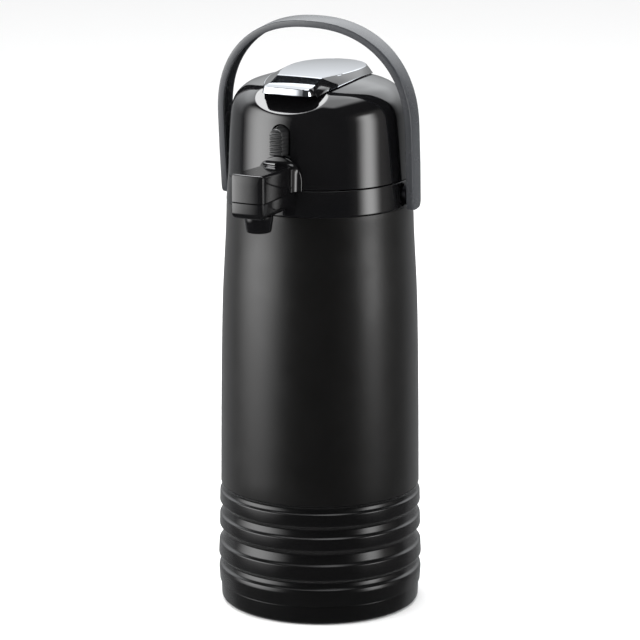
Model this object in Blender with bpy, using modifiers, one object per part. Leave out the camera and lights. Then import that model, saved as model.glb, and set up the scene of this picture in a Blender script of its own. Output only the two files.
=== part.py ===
"""Lever-action coffee airpot: insulated pot on a swivel base, hinged pump head, spout and bail handle.

Frame: origin at the centre of the foot pad's underside, +Z up, and the spout faces -Y. +X is on the right
when the spout is looked at, so it is the pot's own left. Lengths are millimetres, and mm() makes them metres.
"""

import math

import bmesh
import bpy
from mathutils import Matrix, Vector

# ---------------------------------------------------------------- driving dimensions, in mm
SEAM_Z = 332.0  # parting plane between shoulder collar and pump head
GAP = 0.3  # clearance between pieces that sit against each other
WIDE, MIDDLE, SMALL, TINY = 40, 24, 16, 12  # facets round a turned piece

BASE_R = 76.0  # swivel base
CASING_TOP_Z = 312.0
CASING_BOTTOM_Z = 92.9
CASING_WALL = 1.4
SLEEVE_INNER_R = 71.2
SLEEVE_BOTTOM_Z = 14.8
LINER_WALL = 1.25

HEAD_PROFILE = (  # radius, height: outside of the pump head from crown to seam
    (0.0, 409.0),
    (18.0, 408.3),
    (34.0, 406.0),
    (46.0, 402.7),
    (55.0, 399.0),
    (62.4, 392.0),
    (65.8, 384.0),
    (67.2, 371.0),
    (68.8, SEAM_Z + GAP),
)
HEAD_WALL = 2.6

SPOUT_HALF_WIDTH = 12.5
SPOUT_FRONT_Y = -123.5
SPOUT_FLOOR_Z = 320.0
SPOUT_TOP_Z = 351.5
NOZZLE_Y = -103.5
PIPE_Z = 325.8
PIPE_R, PIPE_BORE_R = 4.0, 3.0

LID_HINGE = Vector((0.0, 74.5, 334.0))
LEVER_PIVOT = Vector((0.0, 42.0, 406.6))
LEVER_WALL = 1.6
LEVER_LIFT_DEG = 20.0

HANDLE_PIVOT_Z = 322.0
HANDLE_LEAN_DEG = 4.5
HANDLE_HALF_SPAN = 80.0  # outside of the legs
HANDLE_LEG = 50.0  # straight leg above the pivot
HANDLE_RISE = 129.0  # pivot to the outside of the grip
HANDLE_THICK = 5.3
HANDLE_FLANGE = 2.0

LATCH_FACE_Y = -75.6
LATCH_BOTTOM_Z = 358.2
LATCH_TOP_Z = 379.0

PLATE_TOP_Z = 337.0  # plate that closes the pump head from below


def mm(value):
    """Millimetres to metres, for a number or each number of a point."""
    if isinstance(value, (int, float)):
        return value * 0.001
    return tuple(v * 0.001 for v in value)


def between(x, points):
    """Height of the polyline `points` (x rising) at x."""
    for (x0, y0), (x1, y1) in zip(points, points[1:]):
        if x <= x1:
            return y0 + (y1 - y0) * (x - x0) / (x1 - x0)
    return points[-1][1]


def dome_z(x, y):
    return between(math.hypot(x, y), HEAD_PROFILE)


# ---------------------------------------------------------------- scene, collections and materials
for old in list(bpy.data.objects):
    bpy.data.objects.remove(old, do_unlink=True)

parts = bpy.data.collections.new("airpot")
helpers = bpy.data.collections.new("airpot_cutters")
for collection in (parts, helpers):
    bpy.context.scene.collection.children.link(collection)


def plastic(name, colour, roughness, metallic=0.0):
    material = bpy.data.materials.new(name)
    material.use_nodes = True
    shader = material.node_tree.nodes["Principled BSDF"]
    shader.inputs["Base Color"].default_value = (*colour, 1.0)
    shader.inputs["Roughness"].default_value = roughness
    shader.inputs["Metallic"].default_value = metallic
    return material


GLOSS_BLACK = plastic("gloss_black", (0.012, 0.012, 0.014), 0.12)
SATIN_BLACK = plastic("satin_black", (0.02, 0.02, 0.022), 0.35)
MATTE_BLACK = plastic("matte_black", (0.03, 0.03, 0.031), 0.6)
HANDLE_GREY = plastic("handle_grey", (0.09, 0.095, 0.1), 0.4)
CHROME = plastic("chrome", (0.85, 0.87, 0.9), 0.06, 1.0)
STEEL = plastic("steel", (0.6, 0.6, 0.6), 0.25, 1.0)
RUBBER = plastic("rubber", (0.03, 0.03, 0.03), 0.8)
SILICONE = plastic("silicone", (0.75, 0.75, 0.72), 0.5)
INNER_PLASTIC = plastic("inner_plastic", (0.5, 0.5, 0.48), 0.45)
SILVERED_GLASS = plastic("silvered_glass", (0.8, 0.8, 0.8), 0.05, 1.0)


# ---------------------------------------------------------------- modelling helpers
def add(name, mesh, material=None, cutter=False):
    """A new object in the parts collection, or a hidden cutter."""
    mesh.name = name
    made = bpy.data.objects.new(name, mesh)
    (helpers if cutter else parts).objects.link(made)
    if material:
        mesh.materials.append(material)
    if cutter:
        made.hide_render = True
        made.display_type = "WIRE"
    return made


def mesh_of(bm):
    bmesh.ops.recalc_face_normals(bm, faces=bm.faces)
    mesh = bpy.data.meshes.new("mesh")
    bm.to_mesh(mesh)
    bm.free()
    return mesh


def turned(name, profile, material=None, facets=WIDE, cutter=False):
    """A profile of (radius, height), run down its outer side and turned round Z."""
    on_axis = profile[0][0] == 0 and profile[-1][0] == 0
    points = [mm((radius, 0.0, height)) for radius, height in profile]
    edges = [(i, i + 1) for i in range(len(points) - 1)]
    if not on_axis:
        edges.append((len(points) - 1, 0))
    mesh = bpy.data.meshes.new(name)
    mesh.from_pydata(points, edges, [])
    made = add(name, mesh, material, cutter)
    screw = made.modifiers.new("turn", "SCREW")
    screw.steps = screw.render_steps = facets
    screw.use_merge_vertices = True
    screw.merge_threshold = 1e-5
    screw.use_smooth_shade = not cutter
    return made


def box(name, low, high, material=None, cutter=False, corner=(0, 0, 0), tilt_deg=0.0):
    """A box between two corners. They are measured from corner, and tilt_deg turns it about X there."""
    bm = bmesh.new()
    bmesh.ops.create_cube(bm, size=1.0)
    middle = [(a + b) / 2 for a, b in zip(low, high)]
    side = [b - a for a, b in zip(low, high)]
    tilt = Matrix.Translation(mm(corner)) @ Matrix.Rotation(math.radians(tilt_deg), 4, "X")
    place = tilt @ Matrix.Translation(mm(middle)) @ Matrix.Diagonal((*mm(side), 1.0))
    bmesh.ops.transform(bm, matrix=place, verts=bm.verts)
    return add(name, mesh_of(bm), material, cutter)


def rod(name, start, end, radius, material=None, cutter=False, facets=SMALL, end_radius=None):
    """A cylinder or cone between two points."""
    start, end = Vector(start), Vector(end)
    bm = bmesh.new()
    bmesh.ops.create_cone(
        bm,
        cap_ends=True,
        segments=facets,
        radius1=mm(radius),
        radius2=mm(radius if end_radius is None else end_radius),
        depth=mm((end - start).length),
    )
    turn = (end - start).to_track_quat("Z", "Y").to_matrix().to_4x4()
    place = Matrix.Translation(mm((start + end) / 2)) @ turn
    bmesh.ops.transform(bm, matrix=place, verts=bm.verts)
    return add(name, mesh_of(bm), material, cutter)


def loft(name, rings, material=None, cutter=False):
    """A closed solid through rings of the same number of 3-D points, with flat ends."""
    bm = bmesh.new()
    rows = [[bm.verts.new(mm(point)) for point in ring] for ring in rings]
    for low, high in zip(rows, rows[1:]):
        for i in range(len(low)):
            j = (i + 1) % len(low)
            bm.faces.new((low[i], low[j], high[j], high[i]))
    bm.faces.new(rows[0])
    bm.faces.new(rows[-1])
    return add(name, mesh_of(bm), material, cutter)


def tube_along(name, points, radius, material=None, cutter=False, sides=2):
    """A round bar along points, as a mesh with its ends closed."""
    curve = bpy.data.curves.new(name, "CURVE")
    curve.dimensions = "3D"
    curve.bevel_depth = mm(radius)
    curve.bevel_resolution = sides
    curve.use_fill_caps = True
    spline = curve.splines.new("POLY")
    spline.points.add(len(points) - 1)
    for place, point in zip(spline.points, points):
        place.co = (*mm(point), 1.0)
    guide = bpy.data.objects.new(name + "_route", curve)
    helpers.objects.link(guide)
    bpy.context.view_layer.update()
    found = guide.evaluated_get(bpy.context.evaluated_depsgraph_get())
    bm = bmesh.new()
    bm.from_mesh(bpy.data.meshes.new_from_object(found))
    bmesh.ops.remove_doubles(bm, verts=bm.verts, dist=1e-6)
    bpy.data.objects.remove(guide)
    return add(name, mesh_of(bm), material, cutter)


def boolean(target, operation, *others):
    for other in others:
        step = target.modifiers.new(f"{operation.lower()}_{other.name}"[:60], "BOOLEAN")
        step.operation = operation
        step.object = other
    return target


def cut(target, *others):
    return boolean(target, "DIFFERENCE", *others)


def join(target, *others):
    return boolean(target, "UNION", *others)


def arc(centre, radius, start, end, steps):
    """Points (a, b) round centre from angle start to end, in degrees."""
    return [
        (
            centre[0] + radius * math.cos(math.radians(start + (end - start) * i / steps)),
            centre[1] + radius * math.sin(math.radians(start + (end - start) * i / steps)),
        )
        for i in range(steps + 1)
    ]


# ---------------------------------------------------------------- swivel base
def make_base():
    rod("foot_pad", (0, 0, 0), (0, 0, 2.7), 66.0, RUBBER, facets=WIDE)
    turned(
        "swivel_base",
        (
            (BASE_R, SLEEVE_BOTTOM_Z - 0.6),
            (BASE_R - 0.6, 1.9),
            (BASE_R - 1.8, 0.5),
            (66.6, 0.5),
            (66.6, 3.0),
            (10.0, 3.0),
            (10.0, 4.3),
            (4.2, 4.3),
            (4.2, 6.0),
            (72.0, 6.0),
            (72.0, SLEEVE_BOTTOM_Z - 0.6),
        ),
        SATIN_BLACK,
    )
    pin = ((0, 19.0), (3.9, 18.0), (3.9, 4.0), (9.4, 4.0), (9.4, 3.1), (0, 3.1))
    turned("swivel_pin", pin, STEEL, SMALL)
    turned("swivel_ring", ((58, 9.7), (58, 6.3), (50, 6.3), (50, 9.7)), SILICONE)


# ---------------------------------------------------------------- insulated pot
def sleeve_outside():
    """Ribbed outside of the base sleeve, downwards. Each groove runs in, then steps out to the next rib."""
    outline = [(74.0, 100.0), (74.0, 92.6), (75.5, 92.3)]
    grooves = (  # deepest radius and height, rib shoulder height, rib lower lip radius and height
        (73.8, 88.0, 85.2, 76.8, 77.6),
        (72.9, 70.4, 67.0, 77.1, 59.0),
        (72.5, 49.8, 45.7, 77.8, 35.8),
    )
    for deep_r, deep_z, rib_z, lip_r, lip_z in grooves:
        outline += [(deep_r, deep_z), (75.5, rib_z + 0.5), (76.3, rib_z - 0.4)]
        outline += [(lip_r, lip_z), (lip_r - 1.2, lip_z - 1.2)]
    return outline + [(74.0, 30.0), (76.2, 27.4), (76.7, 25.4), (BASE_R + 0.1, SLEEVE_BOTTOM_Z)]


def casing_outside():
    return [
        (70.2, CASING_TOP_Z),
        (70.9, 289.0),
        (72.1, 267.0),
        (73.4, 242.0),
        (74.3, 210.0),
        (75.1, 160.0),
        (75.75, CASING_BOTTOM_Z),
    ]


def vessel(name, mouth, body_r, shoulder_z, heel_z, bottom_z):
    """One open glass vessel. mouth is the neck: its inner radius, outer radius, top and length."""
    inner_mouth, outer_mouth, top_z, neck = mouth
    wall = LINER_WALL
    inner_r = body_r - wall
    floor_z = bottom_z + wall
    inside = [(0.0, floor_z), (body_r * 0.46, floor_z + 5.6), (body_r * 0.77, floor_z + 17.0)]
    inside += [(inner_r, heel_z + 0.5), (inner_r, shoulder_z - 0.5), (body_r * 0.86, shoulder_z + 17.0)]
    inside += [(inner_mouth, top_z - neck - 0.8), (inner_mouth, top_z)]
    outside = [(outer_mouth, top_z), (outer_mouth, top_z - neck), (body_r * 0.875, shoulder_z + 18.2)]
    outside += [(body_r, shoulder_z), (body_r, heel_z), (body_r * 0.785, bottom_z + 15.8)]
    outside += [(body_r * 0.47, bottom_z + 4.4), (0.0, bottom_z)]
    return turned(name, inside + outside, SILVERED_GLASS, 32)


def make_pot():
    turned(
        "bottom_cap",
        ((70.8, 30), (70.8, 10), (4.1, 10), (4.1, 17), (9, 17), (9, 13), (67.8, 13), (67.8, 30)),
        SATIN_BLACK,
    )
    turned("liner_seat", ((32, 24.2), (32, 13.3), (14, 13.3), (14, 19.2)), RUBBER, MIDDLE)
    bore = [(SLEEVE_INNER_R, SLEEVE_BOTTOM_Z), (SLEEVE_INNER_R, 100.0)]
    turned("base_sleeve", sleeve_outside() + bore, SATIN_BLACK)
    outside = casing_outside()
    inside = [(r - CASING_WALL, z) for r, z in reversed(outside)]
    turned("body_casing", outside + inside, MATTE_BLACK)
    vessel("liner_outer", (33.7, 35.0, 305.0, 14.2), 66.0, 262.0, 62.0, 19.8)
    inner = vessel("liner_inner", (30.0, 31.3, 307.8, 19.0), 62.0, 255.0, 62.0, 29.5)
    lip = ((35.0, 307.8), (35.0, 305.4), (30.6, 305.4), (30.6, 307.8))
    join(inner, turned("liner_lip", lip, None, 32, cutter=True))
    turned("neck_gasket", ((38, 311.5), (38, 308.3), (31, 308.3), (31, 311.5)), SILICONE, 32)


# ---------------------------------------------------------------- shoulder collar, handle studs and lid hinge
def knuckle(name, x0, x1, arm_low, arm_high, bury_y):
    """A hinge knuckle round the lid hinge axis with the arm that joins it to a wall."""
    y, z = LID_HINGE.y, LID_HINGE.z
    barrel = rod(name, (x0, y, z), (x1, y, z), 4.2, cutter=True)
    arm = box(name + "_arm", (x0 + 0.4, bury_y, arm_low), (x1 - 0.4, y + 0.3, arm_high), cutter=True)
    return join(barrel, arm)


def make_collar():
    web_z = 315.0
    collar = turned(
        "shoulder_collar",
        (
            (69.0, SEAM_Z - GAP),
            (70.3, 313.6),
            (70.3, CASING_TOP_Z + GAP),
            (68.2, CASING_TOP_Z + GAP),
            (68.2, 300.0),
            (65.5, 300.0),
            (65.5, 311.8),
            (31.0, 311.8),
            (31.0, web_z),
            (63.4, web_z),
            (66.4, web_z + 3.0),
            (66.4, SEAM_Z - GAP),
        ),
        GLOSS_BLACK,
    )
    for side in (-1, 1):
        low, high = sorted((side * 14.2, side * 22.0))
        join(collar, knuckle(f"collar_knuckle_{side + 1}", low, high, 324.0, 334.5, 67.5))
        low, high = sorted((side * 8.4, side * 13.4))
        catch = box(f"latch_catch_{side + 1}", (low, -67.2, 328.8), (high, -64.8, 331.5), cutter=True)
        join(collar, catch)
        hole_ends = [(side * x, 0, HANDLE_PIVOT_Z) for x in (60, 75)]
        cut(collar, rod(f"stud_hole_{side + 1}", *hole_ends, 3.3, cutter=True))
    cut(collar, box("pipe_window", (-5.6, -75, 320.4), (5.6, -62, 340), cutter=True))
    cut(collar, rod("lid_pin_hole", (-30, *LID_HINGE.yz), (30, *LID_HINGE.yz), 2.25, cutter=True))
    rod("lid_hinge_pin", (-22.4, *LID_HINGE.yz), (22.4, *LID_HINGE.yz), 2.1, STEEL)

    stud_profile = [(0, 78.0), (3.5, 78.0), (4.05, 77.4), (4.05, 73.6), (8.0, 73.6)]
    stud_profile += [(8.0, 70.6), (3.0, 70.6), (3.0, 64.5), (0, 64.5)]
    for side, word in ((-1, "right"), (1, "left")):
        stud = turned(f"handle_stud_{word}", stud_profile, STEEL, SMALL)
        stud.rotation_euler = (0, side * math.pi / 2, 0)
        stud.location = mm((0, 0, HANDLE_PIVOT_Z))


# ---------------------------------------------------------------- spout: trough, and the cover above it
def spout_ring(z, inset=0.0, front=SPOUT_FRONT_Y, back=-60.0):
    """Plan outline of the spout at height z: straight sides, small front corners and a gently bowed nose."""
    half = SPOUT_HALF_WIDTH - inset
    nose = front + inset
    right = [(half, back), (half, nose + 4.4), (half - 0.6, nose + 3.1), (half - 1.9, nose + 2.2)]
    right += [(half * 0.45, nose + 0.5)]
    left = [(-x, y) for x, y in reversed(right)]
    return [(x, y, z) for x, y in right + left]


def make_spout():
    low_z, high_z = SPOUT_FLOOR_Z, SEAM_Z - GAP
    trough = loft(
        "spout_trough",
        [
            spout_ring(low_z, 2.6, SPOUT_FRONT_Y + 1.4),
            spout_ring(low_z + 1.0, 1.2, SPOUT_FRONT_Y + 0.7),
            spout_ring(low_z + 3.4, 0.2, SPOUT_FRONT_Y + 0.2),
            spout_ring(high_z),
        ],
        GLOSS_BLACK,
    )
    hollow_rings = [spout_ring(low_z + 1.6, 2.8, back=-50.0), spout_ring(high_z + 1.0, 2.0, back=-50.0)]
    cut(trough, loft("trough_hollow", hollow_rings, cutter=True))
    cut(trough, rod("collar_clear", (0, 0, 300), (0, 0, 345), 70.7, cutter=True, facets=WIDE))
    cut(trough, rod("trough_drain", (0, NOZZLE_Y, 310), (0, NOZZLE_Y, 324), 5.0, cutter=True))

    turned(
        "pour_nozzle",
        ((11.0, low_z - GAP), (10.7, 316.0), (9.5, 307.9), (9.0, 307.4), (6.3, 307.4), (6.3, low_z - GAP)),
        GLOSS_BLACK,
        MIDDLE,
    ).location = mm((0, NOZZLE_Y, 0))
    ring = ((6.0, 315), (6.0, 313), (4.3, 313), (4.3, 315))
    turned("nozzle_o_ring", ring, RUBBER, SMALL).location = mm((0, NOZZLE_Y, 0))

    bend = 5.5
    route = [(0, 0, 319.8)]
    route += [(0, y, z) for y, z in arc((-bend, PIPE_Z - bend), bend, 0, 90, 4)]
    route += [(0, y, z) for y, z in arc((NOZZLE_Y + bend, PIPE_Z - bend), bend, 90, 180, 4)]
    route += [(0, NOZZLE_Y, 311.5)]
    pipe = tube_along("pour_pipe", route, PIPE_R, STEEL)
    longer = [(0, 0, 318.0)] + route[1:-1] + [(0, NOZZLE_Y, 309.0)]
    cut(pipe, tube_along("pipe_bore", longer, PIPE_BORE_R, cutter=True))

    siphon = ((4.5, 319.5), (4.5, 38.0), (3.5, 38.0), (3.5, 319.5))
    turned("siphon_tube", siphon, STEEL, SMALL)


def head_cone(name, clearance, low_z=325.0, high_z=365.0):
    """Solid cone that follows the pump head's outside wall at some clearance."""
    slope = (67.2 - 68.8) / (371.0 - SEAM_Z - GAP)
    r_low = 68.8 + slope * (low_z - SEAM_Z) + clearance
    r_high = 68.8 + slope * (high_z - SEAM_Z) + clearance
    return rod(name, (0, 0, low_z), (0, 0, high_z), r_low, cutter=True, facets=WIDE, end_radius=r_high)


def make_spout_cover():
    low_z, high_z = SEAM_Z + GAP, SPOUT_TOP_Z
    cover = loft(
        "spout_cover",
        [
            spout_ring(low_z),
            spout_ring(high_z - 2.2, 0.1, SPOUT_FRONT_Y + 0.2),
            spout_ring(high_z - 0.6, 0.7, SPOUT_FRONT_Y + 0.4),
            spout_ring(high_z, 2.0, SPOUT_FRONT_Y + 0.6),
        ],
        GLOSS_BLACK,
    )
    right = [(18.0, low_z + 0.1), (17.4, 345.0), (15.4, 351.0), (11.5, 354.8), (6.0, 356.8)]
    arch = right + [(0, 357.3)] + [(-x, z) for x, z in reversed(right)]
    flange = loft("spout_flange", [[(x, y, z) for x, z in arch] for y in (-55.0, -85.0)], cutter=True)
    boolean(flange, "INTERSECT", head_cone("flange_face", 2.9))
    join(cover, flange)
    wall_y = -73.2
    hollow_low = spout_ring(low_z - 1.0, 2.0, back=wall_y)
    hollow_high = spout_ring(high_z - 2.2, 2.6, SPOUT_FRONT_Y + 1.0, wall_y)
    cut(cover, loft("cover_hollow", [hollow_low, hollow_high], cutter=True))
    cut(cover, head_cone("head_clear", GAP))


# ---------------------------------------------------------------- stopper that stays in the neck
def make_stopper():
    stopper = turned(
        "stopper",
        (
            (36.8, 330.0),
            (36.8, 317.0),
            (29.3, 317.0),
            (29.3, 299.0),
            (27.0, 297.0),
            (4.8, 297.0),
            (4.8, 320.0),
            (33.8, 320.0),
            (33.8, 330.0),
        ),
        INNER_PLASTIC,
        32,
    )
    cut(stopper, rod("air_inlet", (0, 16, 290), (0, 16, 325), 3.5, cutter=True, facets=TINY))
    cut(stopper, box("pipe_notch", (-4.6, -42, 321.2), (4.6, -30, 335), cutter=True))
    turned("stopper_gasket", ((36.5, 316.7), (36.5, 315.3), (31.4, 315.3), (31.4, 316.7)), SILICONE, 32)
    turned("air_seal", ((37.4, 333.7), (37.4, 330.4), (33.4, 330.4), (33.4, 333.7)), SILICONE, 32)


# ---------------------------------------------------------------- pump head
SCREW_ANGLES = [math.radians(a) for a in (60, 180, 300)]
SCREW_PLACES = [(61.0 * math.sin(a), -61.0 * math.cos(a)) for a in SCREW_ANGLES]
FACET_FRONT = (0.0, -63.8, 387.4)  # lowest point of the flat that makes room for fingers under the beak
FACET_TILT_DEG = 33.2


def arch_ring(y, half, bottom, top):
    """Arched outline in the XZ plane at y, as seen from the front."""
    outline = [(half, bottom), *arc((0.0, top - half), half, 0, 180, 6), (-half, bottom)]
    return [(x, y, z) for x, z in outline]


def make_head():
    inside = [
        (0.0, 409.0 - HEAD_WALL),
        *((r - HEAD_WALL * 0.75, z - HEAD_WALL * 0.95) for r, z in HEAD_PROFILE[1:6]),
        (65.8 - HEAD_WALL, 383.0),
        (67.2 - HEAD_WALL, 371.0),
        (68.8 - HEAD_WALL, SEAM_Z + GAP),
    ]
    head = turned("head_shell", [*HEAD_PROFILE, *reversed(inside)], GLOSS_BLACK)
    finger_flat = {"cutter": True, "corner": FACET_FRONT, "tilt_deg": FACET_TILT_DEG}
    backing = box("flat_backing", (-34, -6, -HEAD_WALL), (34, 36, 1.0), **finger_flat)
    buried = [(max(r - 0.9, 0.0), z - 0.9) for r, z in HEAD_PROFILE] + [(0.0, SEAM_Z - 0.6)]
    boolean(backing, "INTERSECT", turned("backing_limit", buried, cutter=True))
    join(head, backing)
    cut(head, box("finger_flat", (-45, -20, 0), (45, 50, 30), **finger_flat))

    for number, (x, y) in enumerate(SCREW_PLACES):
        boss = rod(f"screw_boss_{number}", (x, y, 337.4), (x, y, 352.0), 4.6, cutter=True, facets=TINY)
        boolean(boss, "INTERSECT", head_cone(f"boss_limit_{number}", -0.8))
        join(head, boss)
        cut(head, rod(f"screw_bore_{number}", (x, y, 330.0), (x, y, 347.5), 1.7, cutter=True, facets=TINY))

    py, pz = LEVER_PIVOT.yz
    for side in (-1, 1):
        x0, x1 = sorted((side * 5.0, side * 8.4))
        join(head, rod(f"lever_lug_{side + 1}", (x0, py, pz), (x1, py, pz), 2.3, cutter=True, facets=TINY))
        low, high = (x0 + 0.01, py - 2.2, pz - 5.2), (x1 - 0.01, py + 2.2, pz)
        join(head, box(f"lever_lug_foot_{side + 1}", low, high, cutter=True))
    join(head, knuckle("head_knuckle", -13.8, 13.8, 332.5, 337.8, 65.8))

    cut(head, rod("stem_hole", (0, 0, 395), (0, 0, 415), 8.0, cutter=True))
    cut(head, rod("lever_pin_hole", (-20, py, pz), (20, py, pz), 1.78, cutter=True, facets=TINY))
    cut(head, rod("head_pin_hole", (-30, *LID_HINGE.yz), (30, *LID_HINGE.yz), 2.25, cutter=True))
    slot = [arch_ring(y, 7.8, LATCH_BOTTOM_Z - 0.5, LATCH_TOP_Z + 1.4) for y in (-55.0, -80.0)]
    cut(head, loft("latch_slot", slot, cutter=True))

    rod("lever_pin", (-11.8, py, pz), (11.8, py, pz), 1.62, STEEL, facets=TINY)

    plate = [(64.2, PLATE_TOP_Z), (64.2, 334.0), (12.0, 334.0)]
    plate += [(10.0, 332.6), (5.0, 332.6), (5.0, PLATE_TOP_Z)]
    base = turned("pump_base", plate, INNER_PLASTIC)
    join(base, box("spring_post", (-9, -50.5, 335.5), (9, -48.0, 373), cutter=True))
    cut(base, box("latch_way", (-14.6, -70, 330), (14.6, -56.0, 340), cutter=True))
    for number, (x, y) in enumerate(SCREW_PLACES):
        cut(base, rod(f"plate_hole_{number}", (x, y, 330), (x, y, 340), 1.7, cutter=True, facets=TINY))
        turned(
            f"head_screw_{number + 1}",
            ((0, 346.0), (1.4, 345.0), (1.4, 333.6), (3.0, 333.6), (3.0, 332.8), (0, 332.8)),
            STEEL,
            TINY,
        ).location = mm((x, y, 0))


# ---------------------------------------------------------------- lid latch: ribbed button with two hooks
def make_latch():
    button = loft(
        "latch_button",
        [
            arch_ring(LATCH_FACE_Y, 4.7, LATCH_BOTTOM_Z + 0.6, LATCH_TOP_Z - 1.6),
            arch_ring(LATCH_FACE_Y + 0.7, 5.3, LATCH_BOTTOM_Z, LATCH_TOP_Z - 0.9),
            arch_ring(-62.0, 7.2, LATCH_BOTTOM_Z, LATCH_TOP_Z + 0.8),
        ],
        MATTE_BLACK,
    )
    join(button, box("latch_bridge", (-13.0, -62.6, 350.0), (13.0, -60.4, 372.0), cutter=True))
    for side in (-1, 1):
        x0, x1 = sorted((side * 8.6, side * 12.99))
        join(button, box(f"latch_leg_{side + 1}", (x0, -62.5, 324.2), (x1, -60.5, 352.0), cutter=True))
        join(button, box(f"latch_nose_{side + 1}", (x0, -63.6, 324.3), (x1, -61.5, 327.5), cutter=True))
    groove_pitch = 2.7
    for number in range(6):
        z = LATCH_BOTTOM_Z + 2.6 + number * groove_pitch
        low, high = (-9, -80, z), (9, LATCH_FACE_Y + 0.9, z + 1.0)
        cut(button, box(f"thumb_groove_{number}", low, high, cutter=True))

    turns, per_turn, radius = 4, 8, 3.4
    start_y, end_y = -59.4, -51.6
    steps = turns * per_turn
    coil = [
        (
            radius * math.cos(2 * math.pi * i / per_turn),
            start_y + (end_y - start_y) * i / steps,
            366.0 + radius * math.sin(2 * math.pi * i / per_turn),
        )
        for i in range(steps + 1)
    ]
    tube_along("latch_spring", coil, 0.45, STEEL, sides=1)


# ---------------------------------------------------------------- lever
LEVER_FOOT = (  # half outline where the lever's skirt ends, from the beak to the rear
    (0, -60.5), (12, -60.3), (17.6, -59.2), (19.6, -56.8), (25, -45), (27.6, -38.4), (30.2, -31), (33, -15),
    (33.2, 2), (31.8, 18), (27.8, 34), (20.5, 45.5), (10, 51.5), (0, 53),
)
LEVER_RIM = (  # half outline of the top plate, point for point with the foot
    (0, -59.6), (12, -59.4), (16.8, -58.5), (18.3, -56.3), (18.4, -46), (18.5, -40), (18.6, -35), (23.5, -20),
    (27, -2), (27.6, 14), (25.2, 28), (18.5, 39.5), (9.5, 46), (0, 48),
)
LEVER_CREASE_Y = -35.0


def plate_z(x, y):
    """Nearly flat top plate. Ahead of the crease it drops, steeply at first, and runs out to the beak."""
    crown = 411.7 - 0.0006 * (max(y, LEVER_CREASE_Y) - 6.0) ** 2
    ahead = max(LEVER_CREASE_Y - y, 0.0)
    return crown - 0.0008 * x * x - 0.085 * ahead - 2.75 * (1.0 - math.exp(-ahead / 7.0))


def foot_z(x, y):
    """Skirt edge: level under the beak, just off the dome, and raised behind the pivot, where it dips."""
    if y < -55.0:
        return 400.6
    behind = max(0.0, y - LEVER_PIVOT.y) * (math.sin(math.radians(LEVER_LIFT_DEG)) + 0.08)
    return dome_z(x, y) + 0.8 + behind


def drawn_in(outline, distance):
    """The half outline moved inwards by distance, its two ends staying on the plane of symmetry."""
    moved = []
    for i, (x, y) in enumerate(outline):
        before = Vector(outline[i - 1]) if i else Vector((-outline[1][0], outline[1][1]))
        after = Vector(outline[i + 1]) if i + 1 < len(outline) else Vector((-outline[-2][0], outline[-2][1]))
        along = (after - before).normalized()
        moved.append((max(x - along.y * distance, 0.0) if x else 0.0, y + along.x * distance))
    return moved


def make_lever():
    """A thin cover: plate and skirt outside, the same drawn in by the wall inside, and an edge between."""
    bm = bmesh.new()
    rows = []
    inner_foot, inner_rim = drawn_in(LEVER_FOOT, LEVER_WALL), drawn_in(LEVER_RIM, LEVER_WALL)
    for foot, rim, foot_in, rim_in in zip(LEVER_FOOT, LEVER_RIM, inner_foot, inner_rim):
        above = [(rim[0] * share, rim[1]) for share in (0.0, 0.5, 1.0)]
        below = [(rim_in[0] * share, rim_in[1]) for share in (1.0, 0.5, 0.0)]
        row = [(x, y, plate_z(x, y)) for x, y in above]
        row += [(*foot, foot_z(*foot)), (*foot_in, max(foot_z(*foot), foot_z(*foot_in)))]
        row += [(x, y, plate_z(x, y) - LEVER_WALL) for x, y in below]
        rows.append([bm.verts.new(mm(point)) for point in row])
    for near, far in zip(rows, rows[1:]):
        for i in range(len(near) - 1):
            bm.faces.new((near[i], near[i + 1], far[i + 1], far[i]))
    bmesh.ops.remove_doubles(bm, verts=bm.verts, dist=1e-6)
    lever = add("lever", mesh_of(bm), CHROME)
    mirror = lever.modifiers.new("other_half", "MIRROR")
    mirror.merge_threshold = 1e-5

    py, pz = LEVER_PIVOT.yz
    for side in (-1, 1):
        x0, x1 = sorted((side * 8.8, side * 11.3))
        ear = rod(f"lever_ear_{side + 1}", (x0, py, pz), (x1, py, pz), 2.7, cutter=True, facets=TINY)
        low, high = (x0 + 0.01, py - 2.3, pz), (x1 - 0.01, py + 2.3, pz + 3.2)
        stem = box(f"lever_ear_stem_{side + 1}", low, high, cutter=True)
        join(lever, ear, stem)
    cut(lever, rod("ear_pin_hole", (-20, py, pz), (20, py, pz), 1.78, cutter=True, facets=TINY))


# ---------------------------------------------------------------- pump: pusher, bellows and spring
def make_pump():
    low_z, high_z = PLATE_TOP_Z + GAP, 375.0
    turned(
        "pusher",
        ((0, 408.9), (3.5, 408.3), (6, 405.9), (6, 380), (12, 378.2), (33, 377.6), (33, 375.3), (0, 375.3)),
        INNER_PLASTIC,
        MIDDLE,
    )
    folds = 10
    outside = []
    for i in range(folds + 1):
        radius = 36.0 if i % 2 else 30.5
        outside.append((radius, high_z - (high_z - low_z) * i / folds))
    inside = [(radius - 1.3, z) for radius, z in reversed(outside)]
    turned("bellows", outside + inside, RUBBER, MIDDLE)

    turns, per_turn, radius = 4, 10, 19.0
    steps = turns * per_turn
    start_z, end_z = low_z + 1.6, high_z - 1.6
    coil = [
        (
            radius * math.cos(2 * math.pi * i / per_turn),
            radius * math.sin(2 * math.pi * i / per_turn),
            start_z + (end_z - start_z) * i / steps,
        )
        for i in range(steps + 1)
    ]
    tube_along("bellows_spring", coil, 0.9, STEEL, sides=1)


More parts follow.
